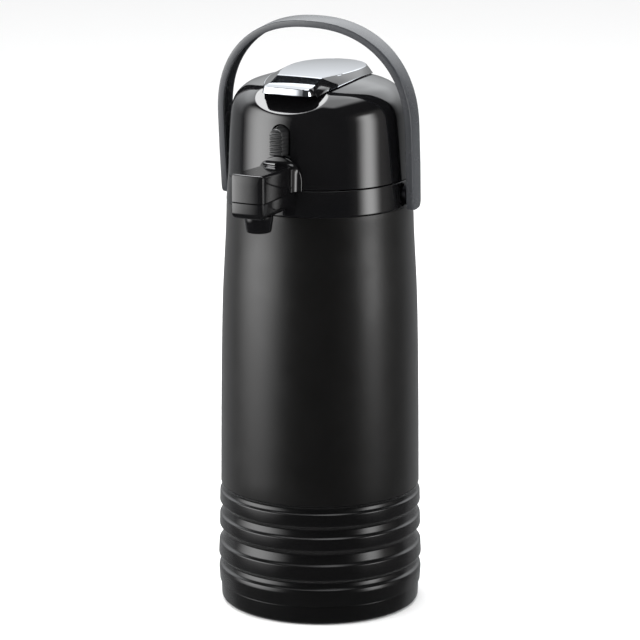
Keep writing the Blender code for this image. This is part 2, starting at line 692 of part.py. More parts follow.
# ---------------------------------------------------------------- bail handle
def handle_stations():
    """Half of the strap, from leg end to grip: side offset, height, outward x and z, and half width."""
    stations = []
    for height, half in ((-12.6, 4.6), (-11.6, 6.3), (-9.6, 7.5), (-6.0, 8.0), (8.0, 8.0), (30.0, 8.0)):
        stations.append((HANDLE_HALF_SPAN - 0.6 * max(0.0, 20.0 - height) / 32.6, height, 1.0, 0.0, half))
    power, steps = 2.25, 9
    rise = HANDLE_RISE - HANDLE_LEG
    for i in range(steps + 1):
        angle = math.pi / 2 * i / steps
        x = HANDLE_HALF_SPAN * math.cos(angle) ** (2 / power) if i < steps else 0.0
        z = rise * math.sin(angle) ** (2 / power) if i else 0.0
        out_x = (x / HANDLE_HALF_SPAN) ** (power - 1) / HANDLE_HALF_SPAN
        out_z = (z / rise) ** (power - 1) / rise
        length = math.hypot(out_x, out_z)
        half = 8.0 + 1.6 * (i / steps) ** 1.5
        stations.append((x, z + HANDLE_LEG, out_x / length, out_z / length, half))
    return stations


def handle_section(x, z, out_x, out_z, half):
    """The strap's section, a channel open towards the inside."""
    flange, edge = HANDLE_FLANGE, 1.2
    outline = [(-HANDLE_THICK, -half), (-edge, -half), (0, -half + edge), (0, half - edge), (-edge, half)]
    outline += [(-HANDLE_THICK, half), (-HANDLE_THICK, half - flange), (-flange, half - flange)]
    outline += [(-flange, -half + flange), (-HANDLE_THICK, -half + flange)]
    return [(x + out_x * depth, across, z + out_z * depth) for depth, across in outline]


def make_handle():
    right = handle_stations()
    left = [(-x, z, -out_x, out_z, half) for x, z, out_x, out_z, half in reversed(right[:-1])]
    handle = loft("handle", [handle_section(*station) for station in right + left], HANDLE_GREY)
    for side in (-1, 1):
        lug_end = side * (HANDLE_HALF_SPAN - 1.6)
        join(handle, rod(f"handle_lug_{side + 1}", (side * 74.3, 0, 0), (lug_end, 0, 0), 6.6, cutter=True))
        cut(handle, rod(f"handle_bore_{side + 1}", (side * 72, 0, 0), (side * 78.3, 0, 0), 4.17, cutter=True))


# ---------------------------------------------------------------- joint axes
def hang_on(name, place, pieces):
    """An empty on a joint's axis, as the parent of the pieces that move on it. They keep their places."""
    pivot = bpy.data.objects.new(name, None)
    parts.objects.link(pivot)
    pivot.location = mm(tuple(place))
    for piece in pieces:
        piece.parent = pivot
        piece.matrix_parent_inverse = Matrix.Translation(pivot.location).inverted()
    return pivot


def make_pivots():
    """The handle is modelled upright about its own pivot, so its parent also leans it forwards."""
    lean = hang_on("handle_pivot", (0, 0, HANDLE_PIVOT_Z), [])
    lean.rotation_euler = (math.radians(HANDLE_LEAN_DEG), 0, 0)
    for piece in (*parts.objects, *helpers.objects):
        if piece.name == "handle" or piece.name.startswith(("handle_lug", "handle_bore")):
            piece.parent = lean

    moving = {piece.name: piece for piece in parts.objects}
    lever_axis = hang_on("lever_pivot", LEVER_PIVOT, [moving["lever"]])
    latch_rest = hang_on("latch_rest", (0, LATCH_FACE_Y, LATCH_BOTTOM_Z), [moving["latch_button"]])
    pump_axis = hang_on("pump_axis", (0, 0, PLATE_TOP_Z), [moving["pusher"]])
    on_lid = ["head_shell", "spout_cover", "pump_base", "air_seal", "lever_pin"]
    on_lid += ["bellows", "bellows_spring", "latch_spring", "head_screw_1", "head_screw_2", "head_screw_3"]
    pieces = [moving[name] for name in on_lid]
    hang_on("lid_pivot", LID_HINGE, [*pieces, lever_axis, latch_rest, pump_axis])


make_base()
make_pot()
make_collar()
make_spout()
make_spout_cover()
make_stopper()
make_head()
make_latch()
make_lever()
make_pump()
make_handle()
make_pivots()
for piece in parts.objects:
    if piece.type == "MESH" and piece.data.polygons:
        piece.data.shade_smooth()
        piece.data.set_sharp_from_angle(angle=math.radians(35))
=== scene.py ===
"""Looks of the lever-action coffee airpot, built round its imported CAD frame.

Sizes are in millimetres in the CAD's own frame: origin under the middle of the foot pad, +Z up, spout to -Y.
"""

import math

import bmesh
import bpy
import numpy as np
from mathutils import Matrix, Vector


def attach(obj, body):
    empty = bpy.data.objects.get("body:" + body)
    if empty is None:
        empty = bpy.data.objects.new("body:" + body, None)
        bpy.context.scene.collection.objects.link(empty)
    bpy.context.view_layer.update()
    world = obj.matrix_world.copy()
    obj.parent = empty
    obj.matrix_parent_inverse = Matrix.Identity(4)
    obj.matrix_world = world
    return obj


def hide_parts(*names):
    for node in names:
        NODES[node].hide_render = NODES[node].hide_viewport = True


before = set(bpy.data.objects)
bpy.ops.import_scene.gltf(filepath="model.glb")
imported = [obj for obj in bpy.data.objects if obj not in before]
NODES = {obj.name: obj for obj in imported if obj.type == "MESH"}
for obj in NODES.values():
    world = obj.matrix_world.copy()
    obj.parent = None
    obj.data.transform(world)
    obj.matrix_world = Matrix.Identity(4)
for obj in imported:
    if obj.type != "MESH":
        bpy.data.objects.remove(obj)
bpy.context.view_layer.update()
scene = bpy.context.scene

MM = 0.001
MERGE_M = 1e-7  # points nearer than this are one point
SEAM_Z = 332.0  # where the pump head meets the collar
GAP = 0.3  # half the seam
ROUND = 144  # facets round a large turned piece
CASING_WALL = 1.4
WALL_TOP_R, WALL_TOP_Z, WALL_FOOT_R = 67.2, 371.0, 68.8  # the head's nearly upright wall
HEAD_PROFILE = (  # radius, height: outside of the pump head from crown to seam
    (0.0, 409.0), (18.0, 408.3), (34.0, 406.0), (46.0, 402.7), (55.0, 399.0),
    (62.4, 392.0), (65.8, 384.0), (WALL_TOP_R, WALL_TOP_Z), (WALL_FOOT_R, SEAM_Z + GAP),
)
HEAD_WALL = 2.6
FLAT_POINT, FLAT_TILT_DEG, FLAT_RIM = (0.0, -64.0, 387.7), 33.2, 0.12  # flat for the fingers under the beak
HINGE_Y, HINGE_Z, HINGE_HOLE_R, HINGE_PIN_R = 74.5, 334.0, 2.25, 2.1
LEVER_Y, LEVER_Z, LEVER_HOLE_R, LEVER_PIN_R = 42.0, 406.6, 1.78, 1.62
HANDLE_Z, HANDLE_LEAN_DEG = 322.0, 4.5
PALE_ROOM = 0.9  # how much of the white surround lights matt surfaces
PLAIN = (1.0, 1.0, 1.0)


# ---------------------------------------------------------------- camera, world, floor and lights
def make_camera():
    """A long lens, looking down a little from the right of the spout."""
    azimuth, pitch = math.radians(25.5), math.radians(14.09)
    reach, height = 2.584, 0.8664
    data = bpy.data.cameras.new("camera")
    data.lens, data.sensor_width = 197.7, 36.0
    data.clip_start, data.clip_end = 0.1, 50.0
    camera = bpy.data.objects.new("camera", data)
    scene.collection.objects.link(camera)
    camera.location = (reach * math.sin(azimuth), -reach * math.cos(azimuth), height)
    camera.rotation_euler = (math.pi / 2 - pitch, 0.0, azimuth)
    scene.camera = camera


def link(tree, *pairs):
    """Joins each (output, input) pair of sockets."""
    for source, target in pairs:
        tree.links.new(source, target)


def ramp(tree, source, stops, smooth="LINEAR"):
    """A colour ramp on source. stops are (position, grey) or (position, colour)."""
    node = tree.nodes.new("ShaderNodeValToRGB")
    node.color_ramp.interpolation = smooth
    marks = node.color_ramp.elements
    while len(marks) < len(stops):
        marks.new(0.5)
    for mark, (place, value) in zip(marks, stops):
        mark.position = place
        colour = value if isinstance(value, tuple) else (value,) * 3
        mark.color = (*colour, 1.0)
    link(tree, (source, node.inputs["Fac"]))
    return node.outputs["Color"]


def maths(tree, operation, *values):
    """A Math node on numbers and sockets."""
    node = tree.nodes.new("ShaderNodeMath")
    node.operation = operation
    for socket, value in zip(node.inputs, values):
        if isinstance(value, (int, float)):
            socket.default_value = value
        else:
            link(tree, (value, socket))
    return node.outputs[0]


def make_world():
    """White where the camera looks past the object. Reflections see a dim studio with a pale sweep behind."""
    world = bpy.data.worlds.new("studio")
    world.use_nodes = True
    world.cycles.sampling_method = "NONE"
    scene.world = world
    tree = world.node_tree
    tree.nodes.clear()
    place = tree.nodes.new("ShaderNodeTexCoord")
    split = tree.nodes.new("ShaderNodeSeparateXYZ")
    link(tree, (place.outputs["Generated"], split.inputs[0]))
    height = maths(tree, "MULTIPLY_ADD", split.outputs["Z"], 0.5, 0.5)
    floor_to_wall = ((0.40, 0.10), (0.49, 0.13), (0.52, 0.17), (0.60, 0.36), (0.66, 0.55))
    wall_to_ceiling = ((0.71, 0.86), (0.75, 1.0), (0.93, 1.0), (0.97, 0.3))
    sweep = ramp(tree, height, floor_to_wall + wall_to_ceiling)
    rise_squared = maths(tree, "POWER", split.outputs["Z"], 2.0)
    level = maths(tree, "SQRT", maths(tree, "MULTIPLY_ADD", rise_squared, -1.0, 1.01))
    across = maths(tree, "MULTIPLY", split.outputs["X"], -0.43)
    back = maths(tree, "DIVIDE", maths(tree, "MULTIPLY_ADD", split.outputs["Y"], 0.9, across), level)
    behind = ramp(tree, back, ((0.35, 0.0), (0.62, 1.0)), "EASE")
    studio = maths(tree, "MULTIPLY_ADD", maths(tree, "MULTIPLY", sweep, behind), 2.6, 0.06)
    seen = tree.nodes.new("ShaderNodeLightPath")
    room, white, pale = (tree.nodes.new("ShaderNodeBackground") for _ in range(3))
    for background, colour in ((room, (0.96, 0.98, 1.0)), (white, PLAIN), (pale, PLAIN)):
        background.inputs["Color"].default_value = (*colour, 1.0)
    pale.inputs["Strength"].default_value = PALE_ROOM
    to_floor = tree.nodes.new("ShaderNodeMixShader")
    to_camera = tree.nodes.new("ShaderNodeMixShader")
    out = tree.nodes.new("ShaderNodeOutputWorld")
    link(
        tree,
        (studio, room.inputs["Strength"]),
        (seen.outputs["Is Diffuse Ray"], to_floor.inputs[0]),
        (room.outputs[0], to_floor.inputs[1]),
        (pale.outputs[0], to_floor.inputs[2]),
        (seen.outputs["Is Camera Ray"], to_camera.inputs[0]),
        (to_floor.outputs[0], to_camera.inputs[1]),
        (white.outputs[0], to_camera.inputs[2]),
        (to_camera.outputs[0], out.inputs["Surface"]),
    )


def softbox(name, place, target, size, radiance, soft, colour=PLAIN):
    """A rectangular softbox. Its light fades over the shares `soft` of its half width and half height."""
    light = bpy.data.lights.new(name, "AREA")
    light.shape = "RECTANGLE"
    light.size, light.size_y = size
    light.energy = radiance * math.pi * size[0] * size[1]
    light.color = colour
    light.use_nodes = True
    tree = light.node_tree
    where = tree.nodes.new("ShaderNodeNewGeometry")
    split = tree.nodes.new("ShaderNodeSeparateXYZ")
    link(tree, (where.outputs["Parametric"], split.inputs[0]))
    edge_level = 0.04
    falloffs = []
    for axis, share in zip(("X", "Y"), soft):
        off_middle = maths(tree, "ABSOLUTE", maths(tree, "SUBTRACT", split.outputs[axis], 0.5))
        stops = ((1.0 - share, 1.0), (1.0, edge_level))
        falloffs.append(ramp(tree, maths(tree, "MULTIPLY", off_middle, 2.0), stops, "EASE"))
    strength = maths(tree, "MULTIPLY", *falloffs)
    link(tree, (strength, tree.nodes["Emission"].inputs["Strength"]))
    lamp = bpy.data.objects.new(name, light)
    scene.collection.objects.link(lamp)
    lamp.location = place
    lamp.rotation_euler = (Vector(target) - Vector(place)).to_track_quat("-Z", "Y").to_euler()


def around(azimuth_deg, reach, height):
    """A place in metres, at an azimuth counted from the spout's side."""
    angle = math.radians(azimuth_deg)
    return (reach * math.sin(angle), -reach * math.cos(angle), height)


def make_stage():
    """The floor, the five lights and the plain view transform."""
    floor_material = bpy.data.materials.new("pale_floor")
    floor_material.use_nodes = True
    shader = floor_material.node_tree.nodes["Principled BSDF"]
    shader.inputs["Base Color"].default_value = (0.93, 0.93, 0.93, 1.0)
    shader.inputs["Roughness"].default_value = 0.9
    shader.inputs["Specular IOR Level"].default_value = 0.1
    bpy.ops.mesh.primitive_plane_add(size=60.0, location=(0.0, 0.0, -0.0002))
    floor = bpy.context.active_object
    floor.name = "studio_floor"
    floor.data.materials.append(floor_material)
    floor.visible_glossy = False
    floor.visible_shadow = False
    middle = (0.0, 0.0, 0.28)
    softbox("left_softbox", around(-50, 1.5, 0.45), middle, (2.3, 1.6), 7.0, (0.95, 0.56))
    softbox("right_strip", around(88, 1.5, 0.43), (0.0, 0.0, 0.43), (0.92, 1.1), 6.8, (0.95, 0.31))
    softbox("right_glow", around(95, 1.8, 0.5), middle, (2.6, 1.8), 0.55, (0.95, 0.5), (1.0, 0.97, 0.94))
    softbox("overhead", (-0.1, 0.25, 1.75), (-0.1, 0.25, 0.0), (1.8, 1.8), 3.5, (0.3, 0.3), (0.98, 0.99, 1.0))
    softbox("key_patch", (-0.587, 0.18, 1.66), (0.0, 0.0, 0.4), (0.7, 0.7), 7.0, (0.6, 0.6))
    scene.view_settings.view_transform = "Standard"
    scene.view_settings.look = "None"


# ---------------------------------------------------------------- materials
def principled(name, colour, roughness, metallic=0.0, **sockets):
    """A Principled material. Other sockets are given by name, with _ for a space."""
    material = bpy.data.materials.new(name)
    material.use_nodes = True
    shader = material.node_tree.nodes["Principled BSDF"]
    shader.inputs["Base Color"].default_value = (*colour, 1.0)
    shader.inputs["Roughness"].default_value = roughness
    shader.inputs["Metallic"].default_value = metallic
    for socket, value in sockets.items():
        shader.inputs[socket.replace("_", " ")].default_value = value
    return material


def noise(tree, scale, detail, stretch=PLAIN):
    """Noise in the object's own space, `scale` grains to the metre."""
    place = tree.nodes.new("ShaderNodeTexCoord")
    mapping = tree.nodes.new("ShaderNodeMapping")
    mapping.inputs["Scale"].default_value = stretch
    node = tree.nodes.new("ShaderNodeTexNoise")
    node.inputs["Scale"].default_value = scale
    node.inputs["Detail"].default_value = detail
    link(
        tree,
        (place.outputs["Object"], mapping.inputs["Vector"]),
        (mapping.outputs[0], node.inputs["Vector"]),
    )
    return node.outputs["Fac"]


def worn(material, scale, low, high):
    """Roughness that drifts between two values, as handling and dust leave it."""
    tree = material.node_tree
    node = tree.nodes.new("ShaderNodeMapRange")
    node.inputs["From Min"].default_value, node.inputs["From Max"].default_value = 0.3, 0.7
    node.inputs["To Min"].default_value, node.inputs["To Max"].default_value = low, high
    link(
        tree,
        (noise(tree, scale, 6.0), node.inputs["Value"]),
        (node.outputs[0], tree.nodes["Principled BSDF"].inputs["Roughness"]),
    )


def bumped(material, depth_mm, *layers):
    """Fine relief: layers are (grains to the metre, share of the depth, and perhaps a stretch)."""
    tree = material.node_tree
    height = None
    for scale, share, *stretch in layers:
        part = maths(tree, "MULTIPLY", noise(tree, scale, 3.0, *stretch), share)
        height = part if height is None else maths(tree, "ADD", height, part)
    bump = tree.nodes.new("ShaderNodeBump")
    bump.inputs["Strength"].default_value = 1.0
    bump.inputs["Distance"].default_value = depth_mm * MM
    link(
        tree,
        (height, bump.inputs["Height"]),
        (bump.outputs[0], tree.nodes["Principled BSDF"].inputs["Normal"]),
    )


def tinted(material, scale, one, two):
    """Base colour that drifts between two near tones."""
    tree = material.node_tree
    tone = ramp(tree, noise(tree, scale, 5.0), ((0.35, one), (0.65, two)))
    link(tree, (tone, tree.nodes["Principled BSDF"].inputs["Base Color"]))


def surface(name, base, wear, relief, tones=None, **sockets):
    """A finish. base is colour, roughness and perhaps metallic; worn, bumped and tinted take the rest."""
    material = principled(name, *base, **sockets)
    worn(material, *wear)
    bumped(material, *relief)
    if tones:
        tinted(material, *tones)
    return material


def grey(level):
    return (level,) * 3


def black_finishes():
    return {
        "gloss_black": surface(
            "gloss_black", ((0.003, 0.003, 0.0034), 0.07), (35.0, 0.05, 0.09),
            (0.012, (120.0, 1.0), (900.0, 0.05)), (20.0, (0.0026, 0.0026, 0.003), (0.0038, 0.0037, 0.004)),
        ),
        "casing_paint": surface(
            "casing_paint", ((0.0014, 0.0012, 0.0011), 0.33), (60.0, 0.30, 0.36),
            (0.02, (1500.0, 1.0), (500.0, 0.6)), (14.0, (0.0011, 0.0009, 0.0008), (0.0018, 0.0015, 0.0014)),
            Specular_IOR_Level=0.38, Sheen_Weight=0.06,
        ),
        "satin_black": surface(
            "satin_black", ((0.001, 0.001, 0.0011), 0.2), (50.0, 0.17, 0.23),
            (0.012, (1300.0, 1.0)), (18.0, (0.0008, 0.0008, 0.0009), (0.0013, 0.0013, 0.0014)),
            Specular_IOR_Level=0.34, Sheen_Weight=0.05,
        ),
        "matte_black": surface(
            "matte_black", ((0.006, 0.006, 0.0064), 0.36), (80.0, 0.32, 0.4),
            (0.02, (1800.0, 1.0)), (30.0, (0.005, 0.005, 0.0053), (0.0075, 0.0075, 0.008)),
        ),
        "handle_grey": surface(
            "handle_grey", ((0.035, 0.037, 0.041), 0.25), (60.0, 0.22, 0.30),
            (0.012, (1400.0, 1.0)), (16.0, (0.032, 0.034, 0.038), (0.039, 0.041, 0.045)),
        ),
    }


def metal_finishes():
    return {
        "chromed_plastic": surface(
            "chromed_plastic", ((0.47, 0.49, 0.52), 0.05, 1.0), (45.0, 0.03, 0.08), (0.006, (90.0, 1.0))
        ),
        "steel": surface(
            "steel", ((0.55, 0.55, 0.56), 0.25, 1.0), (120.0, 0.2, 0.34),
            (0.006, (600.0, 1.0, (1.0, 1.0, 8.0))),
        ),
        # A dark steel look for the handle's studs, darker than the steel slot's own finish.
        "dark_steel": surface(
            "dark_steel", ((0.05, 0.05, 0.055), 0.3, 1.0), (120.0, 0.25, 0.4), (0.006, (600.0, 1.0))
        ),
    }


def inner_finishes():
    return {
        "rubber": surface(
            "rubber", (grey(0.012), 0.7), (70.0, 0.6, 0.8),
            (0.03, (900.0, 1.0)), (40.0, grey(0.01), grey(0.017)),
        ),
        "silicone": surface(
            "silicone", ((0.72, 0.72, 0.69), 0.45), (90.0, 0.4, 0.55),
            (0.015, (700.0, 1.0)), (35.0, (0.68, 0.68, 0.65), (0.76, 0.76, 0.73)), Subsurface_Weight=0.1,
        ),
        "inner_plastic": surface(
            "inner_plastic", ((0.5, 0.5, 0.48), 0.4), (60.0, 0.35, 0.5),
            (0.015, (800.0, 1.0)), (30.0, (0.46, 0.46, 0.44), (0.54, 0.54, 0.52)),
        ),
        "silvered_glass": surface(
            "silvered_glass", ((0.82, 0.82, 0.8), 0.06, 1.0), (30.0, 0.04, 0.12), (0.02, (60.0, 1.0))
        ),
    }


# ---------------------------------------------------------------- mesh helpers
def drop_wires(bm):
    """Removes edges that no face uses, as where an outline runs along the axis it is turned round."""
    bmesh.ops.delete(bm, geom=[edge for edge in bm.edges if not edge.link_faces], context="EDGES")


def mesh_object(name, points, faces):
    """An object from points in millimetres. Coincident points are merged and faces turned outwards."""
    mesh = bpy.data.meshes.new(name)
    mesh.from_pydata((np.asarray(points, float) * MM).tolist(), [], faces)
    bm = bmesh.new()
    bm.from_mesh(mesh)
    bmesh.ops.remove_doubles(bm, verts=bm.verts, dist=MERGE_M)
    bmesh.ops.recalc_face_normals(bm, faces=bm.faces)
    if bm.calc_volume(signed=True) < 0.0:
        bmesh.ops.reverse_faces(bm, faces=bm.faces)
    drop_wires(bm)
    bm.to_mesh(mesh)
    bm.free()
    made = bpy.data.objects.new(name, mesh)
    scene.collection.objects.link(made)
    return made


def lofted(name, rings, closed=False):
    """A solid through rings of equal numbers of points. Its ends are flat, or it closes on itself."""
    rings = np.asarray(rings, float)
    count, size = rings.shape[:2]
    faces = []
    for i in range(count if closed else count - 1):
        low, high = i * size, (i + 1) % count * size
        for j in range(size):
            k = (j + 1) % size
            faces.append((low + j, low + k, high + k, high + j))
    if not closed:
        faces.append(tuple(range(size)))
        faces.append(tuple(range((count - 1) * size, count * size)))
    return mesh_object(name, rings.reshape(-1, 3), faces)


def filleted(points, steps=5):
    """A closed outline with rounded corners. Each point is (a, b) or (a, b, how far the rounding reaches)."""
    most = 0.48  # share of a side that one rounding may take
    made = []
    count = len(points)
    for i, point in enumerate(points):
        here = np.array(point[:2], float)
        reach = point[2] if len(point) > 2 else 0.0
        if reach == 0.0:
            made.append(tuple(here))
            continue
        before = np.array(points[i - 1][:2], float) - here
        after = np.array(points[(i + 1) % count][:2], float) - here
        start = here + before / np.linalg.norm(before) * min(reach, most * np.linalg.norm(before))
        end = here + after / np.linalg.norm(after) * min(reach, most * np.linalg.norm(after))
        for step in range(steps + 1):
            t = step / steps
            made.append(tuple(start * (1 - t) ** 2 + here * 2 * t * (1 - t) + end * t * t))
    return made


def round_angles(facets):
    return np.arange(facets) * 2 * math.pi / facets


def turned(name, profile, facets=ROUND, centre=(0.0, 0.0)):
    """A closed profile of (radius, height, rounding) turned round a vertical axis."""
    radius, height = np.array(filleted(profile)).T
    rings = []
    for a in round_angles(facets):
        x = centre[0] + radius * math.sin(a)
        y = centre[1] - radius * math.cos(a)
        rings.append(np.column_stack((x, y, height)))
    return lofted(name, rings, closed=True)


def smooth_through(points, steps=10, start_slope=None):
    """A Catmull-Rom curve through 2-D points, spaced by their distance."""
    pts = np.asarray(points, float)
    gaps = np.linalg.norm(np.diff(pts, axis=0), axis=1) ** 0.5
    knots = np.concatenate([[0.0], np.cumsum(gaps)])
    slopes = np.gradient(pts, knots, axis=0)
    if start_slope is not None:
        slopes[0] = np.array(start_slope) * np.linalg.norm(slopes[0])
    made = []
    for i in range(len(pts) - 1):
        h = knots[i + 1] - knots[i]
        for s in range(steps):
            t = s / steps
            made.append(
                (2 * t**3 - 3 * t**2 + 1) * pts[i]
                + (t**3 - 2 * t**2 + t) * h * slopes[i]
                + (3 * t**2 - 2 * t**3) * pts[i + 1]
                + (t**3 - t**2) * h * slopes[i + 1]
            )
    made.append(pts[-1])
    return np.array(made)


def rod(name, start, end, radius, facets=40, edge=0.0):
    """A cylinder between two points with its rims eased by edge."""
    start, end = Vector(start), Vector(end)
    length = (end - start).length
    levels = [(0.0, radius), (length, radius)]
    if edge:
        levels = [(0.0, radius - edge), (edge, radius), (length - edge, radius), (length, radius - edge)]
    turn = (end - start).to_track_quat("Z", "Y").to_matrix()
    rings = []
    for along, r in levels:
        around_axis = [Vector((r * math.cos(a), r * math.sin(a), along)) for a in round_angles(facets)]
        rings.append([tuple(start + turn @ point) for point in around_axis])
    return lofted(name, rings)


def block(name, low, high):
    """A box between two corners."""
    x0, y0, z0 = low
    x1, y1, z1 = high
    ring = [(x0, y0), (x1, y0), (x1, y1), (x0, y1)]
    return lofted(name, [[(x, y, z) for x, y in ring] for z in (z0, z1)])


def boolean(piece, operation, *others):
    """Applies the Booleans at once and removes the other objects."""
    for other in others:
        step = piece.modifiers.new(operation.lower(), "BOOLEAN")
        step.operation = operation
        step.object = other
    bpy.context.view_layer.update()
    result = piece.evaluated_get(bpy.context.evaluated_depsgraph_get())
    mesh = bpy.data.meshes.new_from_object(result)
    bm = bmesh.new()
    bm.from_mesh(mesh)
    bmesh.ops.remove_doubles(bm, verts=bm.verts, dist=MERGE_M)
    drop_wires(bm)
    bm.to_mesh(mesh)
    bm.free()
    piece.modifiers.clear()
    piece.data = mesh
    for other in others:
        bpy.data.objects.remove(other, do_unlink=True)
    return piece


def cut(piece, *others):
    boolean(piece, "DIFFERENCE", *others)


def join(piece, *others):
    return boolean(piece, "UNION", *others)


def finish_piece(piece, body, slot, *replaced, sharp_deg=32.0, look=None):
    """Gives a piece its material, shading and body, and hides the CAD nodes it replaces. The material is the
    slot's finish; look is a finish other than the slot's own.
    """
    piece.data.materials.clear()
    piece.data.materials.append(MATERIALS[look or slot])
    piece.data.shade_smooth()
    piece.data.set_sharp_from_angle(angle=math.radians(sharp_deg))
    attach(piece, body)
    if replaced:
        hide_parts(*replaced)


# ---------------------------------------------------------------- base, sleeve, casing
def make_base():
    """The rubber foot and the tray that the pot turns on. Profiles are (radius, height, rounding)."""
    foot = turned("foot_ring", [(66, 2.7, 0.3), (66, 0, 0.8), (0, 0), (0, 2.7)])
    finish_piece(foot, "base", "rubber", "foot_pad")
    profile = [(76.0, 14.2, 0.5), (75.5, 2.2, 0.8), (74.2, 0.5, 0.6), (66.6, 0.5), (66.6, 3.0)]
    profile += [(10, 3), (10, 4.3), (4.2, 4.3), (4.2, 6.0), (72, 6), (72, 14.2)]
    finish_piece(turned("swivel_tray", profile), "base", "satin_black", "swivel_base")


def make_sleeve():
    """The ribbed sleeve round the pot's foot: three ribs, each with a groove above it, and a low band."""
    outside = [(74.0, 100.0, 0.6), (74.0, 92.6), (75.5, 92.3, 0.3)]
    grooves = (  # radius, height of the deepest line, of the ledge, of the rib's shoulder, of its lower lip
        (73.9, 90.4, 74.9, 87.4, 76.5, 86.0, 76.8, 77.6),
        (72.9, 73.6, 75.0, 68.7, 76.8, 67.2, 77.1, 59.0),
        (72.5, 54.2, 75.3, 47.7, 77.3, 45.9, 77.8, 35.8),
    )
    for deep_r, deep_z, ledge_r, ledge_z, rib_r, rib_z, lip_r, lip_z in grooves:
        outside += [(deep_r, deep_z, 1.2), (ledge_r, ledge_z, 0.9), (rib_r, rib_z, 0.6)]
        outside += [(lip_r, lip_z, 0.5), (lip_r - 1.2, lip_z - 1.2, 0.6)]
    outside += [(73.6, 32.2, 1.2), (75.2, 28.8, 0.8), (77.1, 27.2, 0.6), (77.6, 24.5, 0.8), (77.0, 14.8, 0.4)]
    profile = outside + [(71.2, 14.8), (71.2, 100.0, 0.4)]
    finish_piece(turned("ribbed_sleeve", profile), "pot", "satin_black", "base_sleeve", sharp_deg=50)


def make_casing():
    """The painted wall, with its top and bottom rims eased."""
    stations = [(70.2, 312.0), (70.9, 289.0), (72.1, 267.0), (73.4, 242.0), (74.3, 210.0), (75.1, 160.0)]
    outside = smooth_through([*stations, (75.75, 92.9)], 5)
    profile = [(*outside[0], 0.5), *outside[1:-1], (*outside[-1], 0.5)]
    profile += [(r - CASING_WALL, z) for r, z in outside[::-1]]
    finish_piece(turned("casing_wall", profile), "pot", "casing_paint", "body_casing")


def knuckle(name, x0, x1, arm_low, arm_high, bury_y):
    """A hinge knuckle round the lid hinge's axis with the arm that joins it to a wall."""
    radius, edge = 4.2, 0.5
    barrel = rod(name, (x0, HINGE_Y, HINGE_Z), (x1, HINGE_Y, HINGE_Z), radius, edge=edge)
    arm = block(name + "_arm", (x0 + edge, bury_y, arm_low), (x1 - edge, HINGE_Y + 0.3, arm_high))
    return join(barrel, arm)


def make_collar():
    """The collar under the head, with hinge knuckles behind and catches for the latch in front."""
    top_z = SEAM_Z - GAP
    profile = [(69.0, top_z, 0.5), (70.3, 313.6), (70.3, 312.3, 0.5), (68.2, 312.3), (68.2, 300), (65.5, 300)]
    profile += [(65.5, 311.8), (31, 311.8), (31, 315), (63.4, 315), (66.4, 318, 1.5), (66.4, top_z, 0.3)]
    collar = turned("collar_wall", profile)
    for side in (-1, 1):
        low, high = sorted((side * 14.2, side * 22.0))
        join(collar, knuckle(f"knuckle_{side}", low, high, 324.0, 334.5, 67.5))
        low, high = sorted((side * 8.4, side * 13.4))
        join(collar, block(f"catch_{side}", (low, -67.2, 328.8), (high, -64.8, 331.5)))
        cut(collar, rod(f"stud_hole_{side}", (side * 60, 0, HANDLE_Z), (side * 75, 0, HANDLE_Z), 3.3))
    cut(collar, block("window", (-5.6, -75, 320.4), (5.6, -62, 340)))
    cut(collar, rod("pin_hole", (-30, HINGE_Y, HINGE_Z), (30, HINGE_Y, HINGE_Z), HINGE_HOLE_R))
    finish_piece(collar, "pot", "gloss_black", "shoulder_collar")
    pin = rod("hinge_pin", (-22.4, HINGE_Y, HINGE_Z), (22.4, HINGE_Y, HINGE_Z), HINGE_PIN_R, edge=0.4)
    finish_piece(pin, "pot", "steel", "lid_hinge_pin")


def make_studs():
    """The two pins that the handle turns on, each turned from (distance from the middle, radius)."""
    collar_side = ((73.6, 4.05), (73.6, 7.6), (73.2, 8.0), (70.6, 8.0), (70.6, 3.0), (64.5, 3.0))
    profile = ((78.0, 3.3), (77.2, 4.05), *collar_side)
    for side, word in ((-1, "right"), (1, "left")):
        rings = []
        for x, r in profile:
            rings.append([(side * x, r * math.cos(a), HANDLE_Z + r * math.sin(a)) for a in round_angles(64)])
        stud = lofted(f"stud_{word}", rings)
        # The studs take the dark steel look in place of the steel slot's own finish.
        finish_piece(stud, "pot", "steel", f"handle_stud_{word}", look="dark_steel")


# ---------------------------------------------------------------- spout
SPOUT_HALF, SPOUT_NOSE_Y, SPOUT_TOP_Z, NOZZLE_Y = 12.9, -123.0, 350.4, -103.5
NOSE_ROUND, NOSE_BOW, NOSE_RISE = 1.3, 0.9, 2.2
FLANGE_HALF, FLANGE_TOP_Z, FLANGE_AHEAD = 18.0, 357.3, 3.1
FILLET_WIDE, FILLET_HIGH, FILLET_LONG = 5.0, 6.8, 8.0
COVER_CORNER = 2.4


def nose_y(x):
    """Front face of the spout: gently bowed."""
    return SPOUT_NOSE_Y + NOSE_BOW * abs(x / SPOUT_HALF) ** 2.4


def spout_plan(inset, back=-58.0):
    """Plan outline of the spout: straight sides, rounded corners and a gently bowed nose."""
    half = SPOUT_HALF - inset
    side = [(half, back)]
    for a in np.radians(np.linspace(0.0, 90.0, 9)):
        x = half - NOSE_ROUND * (1 - math.cos(a))
        side.append((x, nose_y(x) + inset + NOSE_ROUND * (1 - math.sin(a))))
    side += [(half * share, nose_y(half * share) + inset) for share in (0.66, 0.45, 0.22)]
    return side + [(0.0, nose_y(0.0) + inset)] + [(-x, y) for x, y in side[::-1]]


